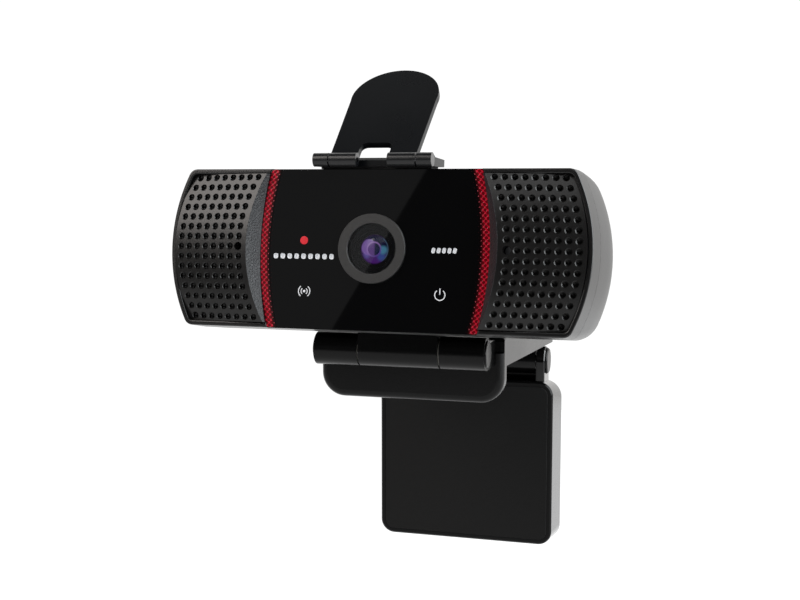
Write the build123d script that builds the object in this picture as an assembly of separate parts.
"""Monitor-clip webcam with a flip-up privacy cover, built as separate pieces.

Millimetres, +Z up, the lens looks toward -Y, +X is the right-hand end seen from the front.
The origin is the point of the clip's top pad that rests on the monitor.
"""
import os
from math import cos, radians, sin, sqrt

from build123d import *

os.makedirs("parts", exist_ok=True)

# ---- camera head, drawn in its own frame: origin at the centre of the lens ring's front face
HEAD_TILT = 7.7                       # degrees the head leans back at rest
LENS_AT = (0, -62.0, 36.8)            # centre of the lens ring in the shared frame
SIDE_RADIUS = 42.0                    # bulge of the two ends, seen from the front

# depth, half width, top, bottom and corner radius of the housing outline
FRONT_SECTIONS = [(0.6, 52.6, 19.2, -19.7, 2.3), (7.9, 53.5, 20.0, -20.0, 3.0)]
REAR_SECTIONS = [(8.1, 53.5, 20.0, -20.0, 3.0), (16.0, 54.25, 20.38, -20.1, 4.4)]
DOME_START = (24.0, 54.6, 20.5, -20.15, 5.8)
DOME_DEPTH = 18.0
DOME_INSET = 11.0                     # how far the outline draws in at the very back
DOME_ANGLES = (25, 45, 62, 78)        # stations round the dome's quarter arc
DOME_CORNER = 0.18                    # growth of the corner radius with depth
FRONT_WALL = 1.2
REAR_WALL = 2.0
FRAME_FLOOR = (3.6, 5.2)              # front and back of the frame's inner plate
GLASS = (1.0, 2.2)                    # front and back of the glass panel
STRIP_FRONT = 0.9
RIM_ROUND = 0.35
FIT = 0.05                            # clearance of a seated part

# ---- accent strips and grilles
STRIP_X = 26.28                       # inner edge at mid height
STRIP_WIDTH = 2.35
STRIP_RADIUS = 77.3
GRILLE_AXIS_Y = 61.4                  # axis the pillowed grille face turns about
GRILLE_RADIUS = 63.99
GRILLE_WALL = 2.2
FLANK_X = -36.7                       # cone that shapes the sloped inner flank
FLANK_RADIUS = 67.8
FLANK_FRONT = -2.8
FLANK_SLOPE = 0.7
HOLE_ROWS = 15
HOLE_COLUMNS = 8
HOLE_X = 33.26                        # inner column at mid height
HOLE_PITCH_X = 2.341
HOLE_PITCH_Z = 2.46
COLUMN_RADIUS = 40.6
HOLE_R = 0.7
HOLE_MOUTH_R = 0.92
HOLE_DEPTH = 1.25
MIC_PORT_R = 1.0

# ---- optics
RING_R = 8.4
RING_BORE = 6.05
RING_EDGE = 0.12
WINDOW = (0.7, 1.6)                   # front and back of the clear window
BARREL_R = 5.95
LENS_R = 3.6
BOARD_Y = 16.0
BOARD_T = 1.2

# ---- tilt hinge between head and clip
TILT_Y, TILT_Z = -35.85, 8.54
TILT_R = 4.35
TILT_HALF = 23.0
TILT_CAP_R = 3.6
TILT_CENTRE_HALF = 10.7
HINGE_GAP = 0.4
PIN_R = 1.6

# ---- clip arm and lip
CLIP_HALF = 25.55
LIP_FRONT, LIP_BACK = -27.1, -22.6
LIP_BOTTOM = -6.2
LIP_CORNER = 6.5
LIP_ROUND = 2.0
LIP_TOP = 7.45                        # ledge above the lip's front plate
LEDGE_DEPTH = 1.6
ARM_FRONT_TOP = 12.1
ARM_REAR = 66.0
ARM_REAR_TOP = 3.6
ARM_UNDER_FRONT = 3.8                 # underside height at the lip
ARM_UNDER_REAR = -0.9
ARM_WALL = 2.0
BASE_T = 1.6
NUT_Y = 22.0
NUT_R = 5.0
TRIPOD_BORE = 2.6

# ---- leg
LEG_Y, LEG_Z = 46.0, -5.0
LEG_R = 4.35
EAR_R = 4.65
CAP_SEAT_R = 4.3                      # shallow seat of the pin cap in the ear
CAP_SEAT = 0.5
WALL_R = LEG_R + 0.45                 # hollow of the leg's low wall behind the barrel
WALL_TOP = -8.5
LEG_KNUCKLE_HALF = 22.6
EAR_IN, EAR_OUT = 22.9, 25.65
LEG_FRONT, LEG_BACK = 39.9, 50.9
LEG_HALF = 28.65
LEG_TOP, LEG_BOTTOM = -11.2, -64.5
LEG_FLARE = 1.25
LEG_TOP_DROP = 2.0                    # how much less the top flares toward the back
LEG_CORNER = 4.4

# ---- privacy cover
COVER_Y, COVER_Z = -1.3, 21.1         # hinge axis in the head frame
COVER_R = 1.65
COVER_LEAN = 43.0                     # degrees the raised flap leans back at rest
COVER_HALF = 14.7
FLAP_OUT, FLAP_IN = 10.65, 3.9
FLAP_T = 1.6
FLAP_HEAD_R = 11.3
FLAP_HEAD_AT = 24.6


def front_plane(y):
    return Plane(origin=(0, y, 0), x_dir=(1, 0, 0), z_dir=(0, -1, 0))


def slab(face, front, back):
    """A face drawn in (X, Z) carried from one depth back to another."""
    return extrude(front_plane(back) * face, amount=back - front)


def across(face, start, end):
    """A face drawn in (Y, Z) carried along X."""
    plane = Plane(origin=(start, 0, 0), x_dir=(0, 1, 0), z_dir=(1, 0, 0))
    return extrude(plane * face, amount=end - start)


def disc(radius, x, z, front, back):
    return slab(Pos(x, z) * Circle(radius), front, back)


def rod(radius, start, end, y, z):
    return across(Pos(y, z) * Circle(radius), start, end)


def post(radius, x, y, bottom, top):
    return Pos(x, y, bottom) * extrude(Circle(radius), amount=top - bottom)


def polygon(*points):
    return make_face(Polyline(*points, close=True))


def turned(*points):
    """A profile of (radius, depth) points turned about the optical axis."""
    profile = Plane.XY * make_face(Polyline(*points, close=True))
    return revolve(profile, Axis.Y)


def side_x(half_width, z):
    return half_width - SIDE_RADIUS + sqrt(SIDE_RADIUS**2 - z**2)


def body_face(half_width, top, bottom, corner):
    """Housing outline: straight top and bottom, bulging ends."""
    top_x = side_x(half_width, top)
    bottom_x = side_x(half_width, bottom)
    edges = [
        Line((-top_x, top), (top_x, top)),
        ThreePointArc((top_x, top), (half_width, 0), (bottom_x, bottom)),
        Line((bottom_x, bottom), (-bottom_x, bottom)),
        ThreePointArc((-bottom_x, bottom), (-half_width, 0), (-top_x, top)),
    ]
    face = make_face(edges)
    return fillet(face.vertices(), corner)


def body_loft(sections, inset=0.0, depth_scale=1.0):
    """Loft through housing sections, drawn in by a wall thickness."""
    start = sections[0][0]
    faces = []
    for depth, half_width, top, bottom, corner in sections:
        face = body_face(half_width - inset, top - inset, bottom + inset, max(corner - inset, 0.8))
        faces.append(front_plane(start + (depth - start) * depth_scale) * face)
    return loft(faces)


def dome_sections():
    """Stations of the rear dome along an elliptical quarter arc."""
    depth, half_width, top, bottom, corner = DOME_START
    sections = [DOME_START]
    for angle in DOME_ANGLES:
        step = DOME_INSET * (1 - cos(radians(angle)))
        back = depth + DOME_DEPTH * sin(radians(angle))
        corner_here = corner + DOME_CORNER * (back - depth)
        sections.append((back, half_width - step, top - step, bottom + step, corner_here))
    return sections


def mirrored(part):
    return mirror(part, about=Plane.YZ)


def joined(parts):
    """One solid out of overlapping pieces."""
    result = parts[0]
    for part in parts[1:]:
        result += part
    return result


def group(parts):
    """Separate solids kept under one name."""
    solids = []
    for part in parts:
        solids += list(part.solids())
    return Compound(children=solids)


def screw(head_r, head_h, shank_r, length):
    """Pan-head screw along -Z, head on top of z = 0, with a cross recess."""
    body = post(head_r, 0, 0, 0, head_h) + post(shank_r, 0, 0, -length, 0.1)
    body = chamfer(body.edges().group_by(Axis.Z)[-1], head_h * 0.3)
    slot = Pos(0, 0, head_h) * Box(head_r * 1.1, 0.5, head_h * 0.9)
    return body - slot - Rot(0, 0, 90) * slot


# ================================================================ camera head
outline = body_face(*FRONT_SECTIONS[0][1:])
strip_centre_x = STRIP_X - STRIP_RADIUS


def strip_circle(radius, side=1):
    return Pos(side * strip_centre_x, 0) * Circle(radius)


strip_outer = STRIP_RADIUS + STRIP_WIDTH
_, front_half, front_top, front_bottom, front_corner = FRONT_SECTIONS[0]
edge_face = body_face(front_half, front_top - 0.12, front_bottom + 0.12, front_corner)
grille_face = body_face(front_half - FRONT_WALL, front_top - FRONT_WALL, front_bottom + FRONT_WALL, 1.4)

# front frame: a bezel with an inner plate
frame = body_loft(FRONT_SECTIONS)
middle = strip_circle(strip_outer + FIT) & strip_circle(strip_outer + FIT, -1)
frame -= slab(middle, 0, GLASS[1])
for side in (1, -1):
    pocket = grille_face - strip_circle(strip_outer, side)
    frame -= slab(pocket, 0, FRAME_FLOOR[0])
frame -= slab(body_face(51.4, 17.9, -18.1, 1.6), FRAME_FLOOR[1], 8.0)
frame -= disc(RING_R + FIT, 0, 0, 0, 6)
rim_faces = [face for face in frame.faces() if abs(face.center().Y - FRONT_SECTIONS[0][0]) < 0.001]
frame = fillet([edge for face in rim_faces for edge in face.edges()], RIM_ROUND)

BOARD_POSTS = [(sx * 28, sz * 11) for sx in (1, -1) for sz in (1, -1)]
for x, z in BOARD_POSTS:
    frame += disc(2.4, x, z, FRAME_FLOOR[1] - 0.5, BOARD_Y)
    frame -= disc(0.92, x, z, FRAME_FLOOR[1] + 1.5, BOARD_Y)
HOUSING_SCREWS = [(sx * 42, sz * 11) for sx in (1, -1) for sz in (1, -1)]
for x, z in HOUSING_SCREWS:
    frame -= disc(1.3, x, z, 3, 6)

TOUCH_PADS = [(-17.0, -10.6), (17.0, -10.6)]
for x, z in TOUCH_PADS:
    frame -= disc(5.1, x, z, GLASS[1], GLASS[1] + 0.4)
    frame -= disc(1.8, x, z, 2, 6)

# glass panel and the accent strips either side of it
glass_face = edge_face & strip_circle(STRIP_RADIUS - FIT) & strip_circle(STRIP_RADIUS - FIT, -1)
glass_panel = slab(glass_face, *GLASS) - disc(RING_R + FIT, 0, 0, 0, 3)
strip_face = edge_face & (strip_circle(strip_outer) - strip_circle(STRIP_RADIUS))
right_strip = slab(strip_face, STRIP_FRONT, GLASS[1])


def hole_x(column, z):
    """Columns follow arcs that lean toward the lens at top and bottom."""
    return HOLE_X + column * HOLE_PITCH_X - COLUMN_RADIUS + sqrt(COLUMN_RADIUS**2 - z**2)


def grille_reach(x):
    """Radius of the pillowed face about its turning axis."""
    out = x - HOLE_X
    return GRILLE_RADIUS - 0.1056 * out - 0.00184 * out**2


def pillow(inset):
    """Everything behind the pillowed face, drawn in by a wall thickness."""
    stations = [(x, GRILLE_AXIS_Y - grille_reach(x) + inset) for x in (20, 38, 56)]
    curve = ThreePointArc(*stations)
    sides = Polyline(stations[2], (56, GRILLE_AXIS_Y), (20, GRILLE_AXIS_Y), stations[0])
    profile = Plane.XY * make_face([curve, sides])
    return revolve(profile, Axis((0, GRILLE_AXIS_Y, 0), (1, 0, 0)))


def flank(wall):
    """Cone that trims the grille beside the accent strip."""
    front, back = FLANK_FRONT - 3, 6
    radii = [FLANK_RADIUS - FLANK_SLOPE * (y - FLANK_FRONT) + wall for y in (front, back)]
    profile = Polyline((0, front), (radii[0], front), (radii[1], back), (0, back), close=True)
    cone = revolve(Plane.XY * make_face(profile), Axis.Y)
    return Pos(FLANK_X, 0, 0) * cone


dimple_points = [
    (0, -1), (HOLE_MOUTH_R, -1), (HOLE_MOUTH_R, 0.02), (HOLE_R, 0.24),
    (HOLE_R, HOLE_DEPTH), (0, HOLE_DEPTH + 0.4),
]
dimple = turned(*dimple_points)

grille_plan = offset(grille_face, -FIT) - strip_circle(strip_outer + FIT)
grille_inner_plan = offset(grille_face, -1.5) - strip_circle(strip_outer + 1.6)
grille = (slab(grille_plan, -5, FRAME_FLOOR[0] - FIT) & pillow(0)) - flank(0)
grille_room = (slab(grille_inner_plan, -5, 8) & pillow(GRILLE_WALL)) - flank(2.2)
grille -= grille_room
tools = []
for row in range(HOLE_ROWS):
    z = (row - HOLE_ROWS // 2) * HOLE_PITCH_Z - 0.1
    for column in range(HOLE_COLUMNS):
        x = hole_x(column, z)
        surface = GRILLE_AXIS_Y - sqrt(grille_reach(x)**2 - z**2)
        if row == HOLE_ROWS // 2 and column == 0:
            tools.append(disc(MIC_PORT_R, x, z, surface - 1, 6))
            tools.append(disc(2.7, x, z, surface + 2.6, 6))
        else:
            tools.append(Pos(x, surface, z) * dimple)
right_grille = grille - tools

# microphone capsules in rubber boots behind the two ports
boot = disc(2.6, HOLE_X, -0.1, 0.3, 3.5)
boot -= disc(2.02, HOLE_X, -0.1, 0.9, 3.6)
right_boot = boot - disc(MIC_PORT_R, HOLE_X, -0.1, 0, 1)
right_mic = disc(2.0, HOLE_X, -0.1, 0.92, 2.7)
right_mic -= disc(0.5, HOLE_X, -0.1, 0.8, 1.2)

# lens ring, barrel, elements and holder
lens_ring = turned(
    (RING_BORE, RING_EDGE), (RING_BORE + RING_EDGE, 0), (RING_R - RING_EDGE, 0), (RING_R, RING_EDGE),
    (RING_R, 4.8), (RING_BORE, 4.8),
)
lens_window = turned((0, WINDOW[0]), (6.0, WINDOW[0]), (6.0, WINDOW[1]), (0, WINDOW[1]))
lens_seat_r = LENS_R + 0.05
barrel_bore = [(2.6, 4.6), (lens_seat_r, 4.6), (lens_seat_r, 2.8), (4.3, 2.8), (4.3, 2.3), (4.7, 2.3)]
barrel_back = [(BARREL_R, 12.4), (3.5, 12.4), (3.5, 10.2), (2.6, 10.2)]
lens_barrel = turned((5.3, 1.65), (BARREL_R, 1.65), *barrel_back, *barrel_bore)


def lens(radius, front, back, bulge_front, bulge_back):
    """Glass element: a cylinder trimmed by two spheres."""
    ball_front = (radius**2 + bulge_front**2) / (2 * bulge_front)
    ball_back = (radius**2 + bulge_back**2) / (2 * bulge_back)
    blank = disc(radius, 0, 0, front - bulge_front, back + bulge_back)
    blank = blank & Pos(0, front - bulge_front + ball_front, 0) * Sphere(ball_front)
    return blank & Pos(0, back + bulge_back - ball_back, 0) * Sphere(ball_back)


front_element = lens(LENS_R, 3.4, 4.2, 0.9, 0.3)
rear_element = lens(3.45, 10.6, 11.6, 0.35, 0.6)

lens_holder = turned((BARREL_R + 0.03, 6.2), (7.6, 6.2), (7.6, 12.0), (BARREL_R + 0.03, 12.0))
lens_holder += slab(RectangleRounded(18, 18, 1), 11.8, BOARD_Y)
lens_holder -= disc(BARREL_R + 0.03, 0, 0, 6, 12.5)
lens_holder -= disc(3.6, 0, 0, 12, 13.2)
lens_holder -= slab(Rectangle(8.1, 8.1), 12.9, 13.8)
lens_holder -= slab(Rectangle(12, 12), 13.6, BOARD_Y + 1)
ir_filter = slab(Rectangle(8.0, 8.0), 12.92, 13.5)
image_sensor = slab(Rectangle(8.6, 7.4), 14.8, BOARD_Y - 0.01)

# main board with its parts and screws
board_back = BOARD_Y + BOARD_T
main_board = slab(RectangleRounded(64, 30, 2), BOARD_Y + 0.01, board_back)
for x, z in BOARD_POSTS:
    main_board -= disc(1.15, x, z, BOARD_Y - 1, board_back + 1)
image_processor = slab(Pos(-14, 2) * Rectangle(10, 10), board_back, board_back + 1.1)
chips = [
    (14, 6, 6, 5, 1.2), (14, -4, 5, 4, 1.0), (-14, -9, 4.6, 2.2, 1.2),
    (3, 9, 3.2, 2.5, 1.1), (-26, 1, 3, 3, 1.6),
]
passives = [(x, z, 1.6, 0.8, 0.8) for x in (-4, -1, 2, 5) for z in (-11, -8, 1)]
board_components = group([
    slab(Pos(x, z) * Rectangle(wide, tall), board_back, board_back + height)
    for x, z, wide, tall, height in chips + passives
])
connector = slab(Pos(24, 0) * Rectangle(5, 11), board_back, board_back + 4.5)
connector -= slab(Pos(24, 0) * Rectangle(3.4, 9.4), board_back + 1.2, board_back + 6)
board_screw = Rot(-90, 0, 0) * screw(1.9, 1.2, 0.9, 4)
board_screws = group([Pos(x, board_back, z) * board_screw for x, z in BOARD_POSTS])
touch_pads = group([disc(5.0, x, z, GLASS[1] + 0.02, GLASS[1] + 0.35) for x, z in TOUCH_PADS])
touch_springs = group([
    disc(1.5, x, z, GLASS[1] + 0.36, BOARD_Y) - disc(1.0, x, z, GLASS[1] + 1, BOARD_Y) for x, z in TOUCH_PADS
])

# rear shell: domed, hollow, with screw posts, a tongue and the seat of the hinge knuckle
pivot_y = 29.7                         # tilt axis in the head frame
pivot_z = -24.5
rear_sections = REAR_SECTIONS + dome_sections()
shell_solid = body_loft(rear_sections)
shell_room = body_loft(rear_sections, REAR_WALL, 0.94)
seat = slab(Pos(0, -19) * Rectangle(36, 5), 21, 38) & shell_solid
posts = [disc(2.8, x, z, 8.2, 40) & shell_solid for x, z in HOUSING_SCREWS]
posts += [disc(2.8, x, z, FRAME_FLOOR[1] + 0.02, 9) for x, z in HOUSING_SCREWS]
tongue = slab(body_face(52.4, 18.9, -18.9, 2.0) - body_face(50.3, 16.8, -17.0, 0.8), 8.1, 10.5)
tongue += slab(body_face(51.3, 17.8, -18.0, 1.5) - body_face(50.3, 16.8, -17.0, 0.8), 5.6, 8.3)
rear_shell = joined([shell_solid - shell_room, seat, tongue] + posts)
for x, z in HOUSING_SCREWS:
    rear_shell -= disc(1.12, x, z, 5, 16)
NECK_HALF = TILT_CENTRE_HALF + 0.1
rear_shell -= Pos(0, pivot_y, -19) * Box(2 * NECK_HALF, 9.0, 8)
FLANGE = (34, 10.2, 1.6)
FLANGE_AT = (0, 28.0, -15.7)
rear_shell -= Pos(*FLANGE_AT) * Box(FLANGE[0] + 0.2, FLANGE[1] + 0.2, FLANGE[2] - 0.02)
KNUCKLE_SCREWS = [(sx * 14, y) for sx in (1, -1) for y in (25.0, 31.0)]
for x, y in KNUCKLE_SCREWS:
    rear_shell -= post(0.92, x, y, -19.0, -15)
GLAND_Z = 2.0
rear_shell -= disc(3.3, 0, GLAND_Z, 36, 44)
vent = slab(SlotOverall(9, 1.2), 34, 44)
vents = [Pos(x, 0, z) * vent for x in (-24, 24) for z in (-6, -3, 0, 3, 6)]
rear_shell -= vents

housing_screw = Rot(90, 0, 0) * screw(2.4, 1.5, 1.1, 10)
housing_screws = group([Pos(x, FRAME_FLOOR[0], z) * housing_screw for x, z in HOUSING_SCREWS])

# cord inlet at the back of the shell
gland = turned((1.9, 37.0), (4.4, 37.0), (4.4, 39.3), (3.25, 39.3), (3.25, 42.0), (4.2, 42.0),
               (4.2, 43.0), (3.1, 45.5), (1.9, 45.5))
cable_gland = Pos(0, 0, GLAND_Z) * gland

# hinge knuckle of the head: barrel, neck and inner flange
neck = across(polygon((pivot_y - TILT_R, pivot_z), (pivot_y - TILT_R, -16.0), (pivot_y + TILT_R, -16.0),
                      (pivot_y + TILT_R, pivot_z)), -TILT_CENTRE_HALF, TILT_CENTRE_HALF)
flange = Pos(*FLANGE_AT) * Box(*FLANGE)
tilt_knuckle = rod(TILT_R, -TILT_CENTRE_HALF, TILT_CENTRE_HALF, pivot_y, pivot_z) + neck + flange
tilt_knuckle -= rod(PIN_R + 0.05, -20, 20, pivot_y, pivot_z)
for x, y in KNUCKLE_SCREWS:
    tilt_knuckle -= post(1.1, x, y, -17, -14)
knuckle_screw = screw(1.8, 1.1, 0.9, 3.8)
knuckle_screws = group([Pos(x, y, -14.9) * knuckle_screw for x, y in KNUCKLE_SCREWS])

# ================================================================ privacy cover
base_side = polygon((0.9, 19.75), (11.0, 21.0), (11.0, 22.3), (10.6, 22.7), (2.2, 22.08), (0.9, 21.3))
base_plate = across(base_side, -COVER_HALF, COVER_HALF)
base_plate = fillet(base_plate.edges().filter_by(Axis.Z).group_by(Axis.Y)[-1], 0.8)
knuckle_web = polygon((COVER_Y, COVER_Z - COVER_R), (1.4, 19.95), (1.4, 22.0), (COVER_Y, COVER_Z + COVER_R))
cover_base = base_plate
for side in (1, -1):
    ends = sorted((side * (FLAP_OUT + 0.35), side * COVER_HALF))
    cover_base += across(knuckle_web, *ends) + rod(COVER_R, *ends, COVER_Y, COVER_Z)
cover_base -= rod(0.62, -13.6, 13.6, COVER_Y, COVER_Z)
top_slope = (FRONT_SECTIONS[1][2] - front_top) / (FRONT_SECTIONS[1][0] - FRONT_SECTIONS[0][0])
pad_low = [(y, front_top + top_slope * (y - 0.6) + 0.02) for y in (1.3, 7.8)]
pad_high = [(y, 19.75 + 1.25 * (y - 0.9) / 10.1 - 0.02) for y in (7.8, 1.3)]
cover_pad = across(polygon(*pad_low, *pad_high), -13.8, 13.8)

flap_face = Pos(0, FLAP_HEAD_AT) * Circle(FLAP_HEAD_R)
flap_face += polygon((-FLAP_OUT, 0), (FLAP_OUT, 0), (FLAP_HEAD_R - 0.1, FLAP_HEAD_AT - 1.6),
                     (-FLAP_HEAD_R + 0.1, FLAP_HEAD_AT - 1.6))
slot = polygon((-FLAP_IN, -3), (FLAP_IN, -3), (FLAP_IN, 5.5), (-FLAP_IN, 5.5))
flap_face -= fillet(slot.vertices().group_by(Axis.Y)[-1], 1.6)
flap = slab(flap_face, -FLAP_T / 2, FLAP_T / 2)
for side in (1, -1):
    ends = sorted((side * FLAP_IN, side * FLAP_OUT))
    flap += rod(COVER_R, *ends, 0, 0)
flap -= rod(0.67, -13.6, 13.6, 0, 0)
cover_flap = Pos(0, COVER_Y, COVER_Z) * Rot(-COVER_LEAN, 0, 0) * flap
cover_pins = group([rod(0.6, *sorted((side * 8.4, side * 13.5)), COVER_Y, COVER_Z) for side in (1, -1)])


# ================================================================ clip
def arm_under(y):
    """Height of the arm's gently falling underside."""
    return ARM_UNDER_FRONT + (ARM_UNDER_REAR - ARM_UNDER_FRONT) * (y - LIP_FRONT) / (ARM_REAR - LIP_FRONT)


def arm_top(y):
    return ARM_FRONT_TOP + (ARM_REAR_TOP - ARM_FRONT_TOP) * (y - LIP_FRONT) / (ARM_REAR - LIP_FRONT)


lip_face = polygon((-CLIP_HALF, LIP_TOP), (CLIP_HALF, LIP_TOP),
                   (CLIP_HALF, LIP_BOTTOM), (-CLIP_HALF, LIP_BOTTOM))
lip_face = fillet(lip_face.vertices().group_by(Axis.Y)[0], LIP_CORNER)
lip = slab(lip_face, LIP_FRONT, LIP_BACK)
lip = fillet(lip.faces().sort_by(Axis.Y)[0].edges().sort_by(Axis.Z)[:-1], LIP_ROUND)
ledge_y = LIP_FRONT + LEDGE_DEPTH
arm_side = polygon((ledge_y, ARM_FRONT_TOP - 1.7), (ledge_y + 0.5, ARM_FRONT_TOP - 0.5),
                   (ledge_y + 1.7, arm_top(ledge_y + 1.7)), (ARM_REAR, ARM_REAR_TOP),
                   (ARM_REAR, ARM_UNDER_REAR), (ledge_y, ARM_UNDER_FRONT))
arm = across(arm_side, -CLIP_HALF, CLIP_HALF)
arm = fillet(arm.edges().filter_by(Axis.Z).group_by(Axis.Y)[-1], 8)
arm = fillet(arm.faces().sort_by(Axis.Z)[-1].edges().filter_by(Axis.X, reverse=True), 0.9)
ROOM = (-19.0, 37.0)
arm_room = across(polygon((ROOM[0], -2), (ROOM[1], -2), (ROOM[1], arm_top(ROOM[1]) - ARM_WALL),
                          (ROOM[0], arm_top(ROOM[0]) - ARM_WALL)), -23.45, 23.45)
arm -= arm_room
ARM_SCREWS = [(sx * 18, y) for sx in (1, -1) for y in (-12.0, 30.0)]
for x, y in ARM_SCREWS:
    arm += post(2.6, x, y, arm_under(y) + BASE_T + 0.25, arm_top(y) - 1)
    arm -= post(1.02, x, y, -2, arm_top(y) - 2)
arm += post(NUT_R + 1.8, 0, NUT_Y, arm_under(NUT_Y) + BASE_T + 0.45, arm_top(NUT_Y) - 1)
arm -= post(NUT_R + 0.02, 0, NUT_Y, -3, 5.3)
web_half = TILT_CENTRE_HALF + HINGE_GAP
knuckle_profile = polygon((TILT_Y, TILT_Z - TILT_R), (ledge_y + 1, TILT_Z - TILT_R), (ledge_y + 1, 11.0),
                          (TILT_Y, 11.0))
for side in (1, -1):
    ends = sorted((side * web_half, side * TILT_HALF))
    knuckle = rod(TILT_R, *ends, TILT_Y, TILT_Z)
    arm += knuckle + across(knuckle_profile, *ends)
rear_web = polygon((LEG_Y - 3.2, LEG_Z), (LEG_Y + 3.2, LEG_Z),
                   (LEG_Y + 3.2, 2.0), (LEG_Y - 3.2, 2.0))
arm += rod(LEG_R, -LEG_KNUCKLE_HALF, LEG_KNUCKLE_HALF, LEG_Y, LEG_Z)
arm += across(rear_web, -LEG_KNUCKLE_HALF, LEG_KNUCKLE_HALF)
clip_arm = arm + lip
clip_arm -= rod(PIN_R + 0.02, -21.6, 21.6, TILT_Y, TILT_Z)
clip_arm -= rod(PIN_R + 0.05, -30, 30, LEG_Y, LEG_Z)
for side in (1, -1):
    clip_arm -= rod(TILT_CAP_R + FIT, *sorted((side * 21.6, side * 24)), TILT_Y, TILT_Z)

plate_front = ROOM[0] + 0.1
plate_back = ROOM[1] - 0.1
plate_low = [(y, arm_under(y)) for y in (plate_front, plate_back)]
plate_high = [(y, height + BASE_T) for y, height in reversed(plate_low)]
arm_base = across(polygon(*plate_low, *plate_high), -23.35, 23.35)
arm_base -= post(NUT_R + 0.05, 0, NUT_Y, -3, 6)
for x, y in ARM_SCREWS:
    arm_base -= post(1.2, x, y, -3, 6)
    arm_base -= post(2.1, x, y, -3, arm_under(y) + 0.9)
arm_screw = Rot(180, 0, 0) * screw(1.9, 0.75, 1.0, 2.7)
arm_screws = group([Pos(x, y, arm_under(y) + 0.88) * arm_screw for x, y in ARM_SCREWS])
tripod_nut = extrude(RegularPolygon(NUT_R, 24), amount=4.1) - post(TRIPOD_BORE, 0, 0, -1, 6)
tripod_nut = Pos(0, NUT_Y, 1.1) * chamfer(tripod_nut.edges().filter_by(GeomType.CIRCLE), 0.3)
arm_pad_side = polygon((-17, arm_under(-17) - 0.02), (33, arm_under(33) - 0.02), (33, 0), (-17, 0))
arm_pad = across(arm_pad_side, -20, 20)
arm_pad -= post(NUT_R + 0.6, 0, NUT_Y, -1, 5)
lip_pad = slab(Pos(0, -1.5) * RectangleRounded(42, 7.5, 2), LIP_BACK + 0.01, LIP_BACK + 1.0)

tilt_pin = rod(PIN_R, -21.5, 21.5, TILT_Y, TILT_Z)
washer = rod(3.6, 0, HINGE_GAP - 0.1, 0, 0) - rod(PIN_R + 0.04, -1, 1, 0, 0)
washer_at = [TILT_CENTRE_HALF + 0.05, -TILT_CENTRE_HALF - HINGE_GAP + 0.05]
tilt_washers = group([Pos(x, TILT_Y, TILT_Z) * washer for x in washer_at])


def cap(radius, depth, crown):
    """Pin cap along +X with a soft rim."""
    blank = rod(radius, 0, depth + crown, 0, 0)
    return fillet(blank.edges().group_by(Axis.X)[-1], crown)


tilt_cap = Pos(21.65, TILT_Y, TILT_Z) * cap(TILT_CAP_R, 1.35, 0.45)
tilt_caps = group([tilt_cap, mirrored(tilt_cap)])

# ================================================================ leg
leg_height = LEG_TOP - LEG_BOTTOM
leg_middle = (LEG_TOP + LEG_BOTTOM) / 2


def leg_face(grow, drop=0.0):
    width = 2 * (LEG_HALF + grow)
    height = leg_height + 2 * grow - drop
    return Pos(0, leg_middle - drop / 2) * RectangleRounded(width, height, LEG_CORNER + grow)


edge_step = 0.5
leg_front_face = front_plane(LEG_FRONT + edge_step) * leg_face(0)
leg = loft([leg_front_face, front_plane(LEG_BACK) * leg_face(LEG_FLARE, LEG_TOP_DROP)])
leg += loft([front_plane(LEG_FRONT) * leg_face(-edge_step), leg_front_face])
ear_profile = Pos(LEG_Y, LEG_Z) * Circle(EAR_R)
ear_profile += polygon((LEG_Y - EAR_R, LEG_Z), (LEG_Y + EAR_R, LEG_Z), (LEG_Y + EAR_R, LEG_TOP - 2),
                       (LEG_Y - EAR_R, LEG_TOP - 2))
for side in (1, -1):
    ear = across(ear_profile, *sorted((side * EAR_IN, side * EAR_OUT)))
    outer_face = ear.faces().sort_by(Axis.X)[-1 if side > 0 else 0]
    leg += chamfer(outer_face.edges().sort_by(Axis.Z)[1:], 0.3)
    leg -= rod(CAP_SEAT_R, *sorted((side * (EAR_OUT - CAP_SEAT), side * (EAR_OUT + 1))), LEG_Y, LEG_Z)
rear_wall = across(polygon((LEG_Y + 1.0, LEG_TOP - 1.5), (LEG_Y + EAR_R, LEG_TOP - 1.5),
                           (LEG_Y + EAR_R, WALL_TOP), (LEG_Y + 1.0, WALL_TOP)),
                   -EAR_IN - 0.1, EAR_IN + 0.1)
leg += rear_wall - rod(WALL_R, -EAR_IN, EAR_IN, LEG_Y, LEG_Z)
leg -= slab(leg_face(-1.5), LEG_FRONT - 1, LEG_FRONT + 1.2)
leg -= slab(leg_face(-2.0), LEG_FRONT + 3.0, LEG_BACK + 1)
leg -= rod(PIN_R + 0.02, -30, 30, LEG_Y, LEG_Z)
LEG_SCREWS = [(sx * 23, leg_middle + sz * 20) for sx in (1, -1) for sz in (1, -1)]
for x, z in LEG_SCREWS:
    leg += disc(2.6, x, z, LEG_FRONT + 2.5, LEG_BACK - 1.55)
    leg -= disc(1.02, x, z, LEG_FRONT + 4.5, LEG_BACK)
for x in (-15, -5, 5, 15):
    leg += slab(Pos(x, leg_middle) * Rectangle(1.2, leg_height - 5), LEG_FRONT + 2.8, LEG_BACK - 2.5)
leg_cover = slab(leg_face(-2.08), LEG_BACK - 1.5, LEG_BACK)
leg_cover = fillet(leg_cover.faces().sort_by(Axis.Y)[-1].edges(), 0.5)
for x, z in LEG_SCREWS:
    leg_cover -= disc(1.2, x, z, LEG_BACK - 3, LEG_BACK + 1)
    leg_cover -= disc(2.1, x, z, LEG_BACK - 0.8, LEG_BACK + 1)
leg_screw = Rot(-90, 0, 0) * screw(1.9, 0.7, 1.0, 4.0)
leg_screws = group([Pos(x, LEG_BACK - 0.78, z) * leg_screw for x, z in LEG_SCREWS])
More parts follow.
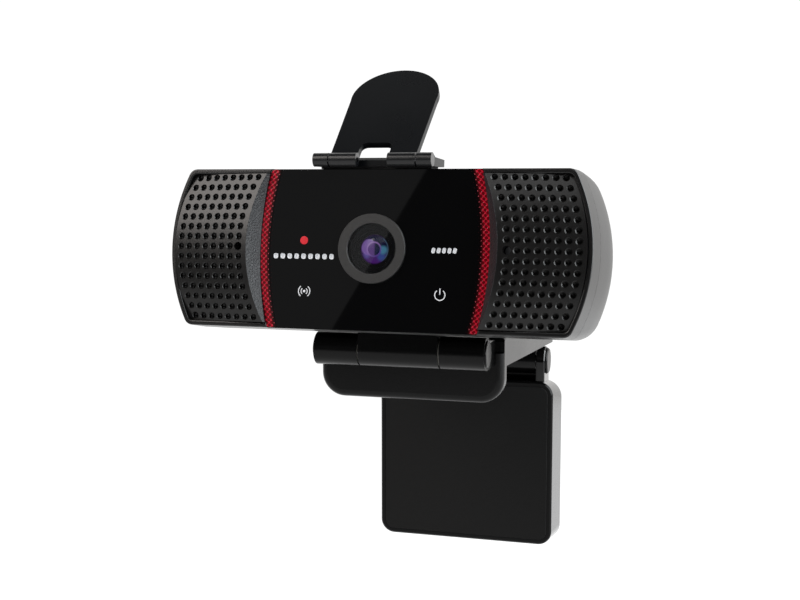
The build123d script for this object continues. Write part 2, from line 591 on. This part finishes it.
leg_pad = slab(leg_face(-1.55), LEG_FRONT - 0.15, LEG_FRONT + 1.18)
leg_pad = fillet(leg_pad.faces().sort_by(Axis.Y)[0].edges(), 0.3)
leg_pin = rod(PIN_R, -25.1, 25.1, LEG_Y, LEG_Z)
leg_cap = Pos(EAR_OUT - CAP_SEAT + 0.01, LEG_Y, LEG_Z) * cap(CAP_SEAT_R - 0.16, 0.7, 0.6)
leg_caps = group([leg_cap, mirrored(leg_cap)])

# ================================================================ placing and export
head_place = Pos(*LENS_AT) * Rot(-HEAD_TILT, 0, 0)
head_parts = {
    "front_frame": frame,
    "glass_panel": glass_panel,
    "right_accent_strip": right_strip,
    "left_accent_strip": mirrored(right_strip),
    "right_grille": right_grille,
    "left_grille": mirrored(right_grille),
    "right_microphone": right_mic,
    "left_microphone": mirrored(right_mic),
    "right_mic_boot": right_boot,
    "left_mic_boot": mirrored(right_boot),
    "lens_ring": lens_ring,
    "lens_window": lens_window,
    "lens_barrel": lens_barrel,
    "lens_front_element": front_element,
    "lens_rear_element": rear_element,
    "lens_holder": lens_holder,
    "ir_filter": ir_filter,
    "image_sensor": image_sensor,
    "main_board": main_board,
    "image_processor": image_processor,
    "board_components": board_components,
    "board_connector": connector,
    "board_screws": board_screws,
    "touch_pads": touch_pads,
    "touch_springs": touch_springs,
    "rear_shell": rear_shell,
    "housing_screws": housing_screws,
    "cable_gland": cable_gland,
    "tilt_knuckle": tilt_knuckle,
    "knuckle_screws": knuckle_screws,
    "cover_base": cover_base,
    "cover_pad": cover_pad,
    "cover_pins": cover_pins,
    "cover_flap": cover_flap,
}
clip_parts = {
    "clip_arm": clip_arm,
    "arm_base_plate": arm_base,
    "arm_screws": arm_screws,
    "arm_pad": arm_pad,
    "lip_pad": lip_pad,
    "tilt_pin": tilt_pin,
    "tilt_pin_caps": tilt_caps,
    "tilt_washers": tilt_washers,
    "tripod_nut": tripod_nut,
    "leg_shell": leg,
    "leg_back_cover": leg_cover,
    "leg_screws": leg_screws,
    "leg_pad": leg_pad,
    "leg_pin": leg_pin,
    "leg_pin_caps": leg_caps,
}
for name, part in head_parts.items():
    export_step(head_place * part, f"parts/{name}.step")
for name, part in clip_parts.items():
    export_step(part, f"parts/{name}.step")
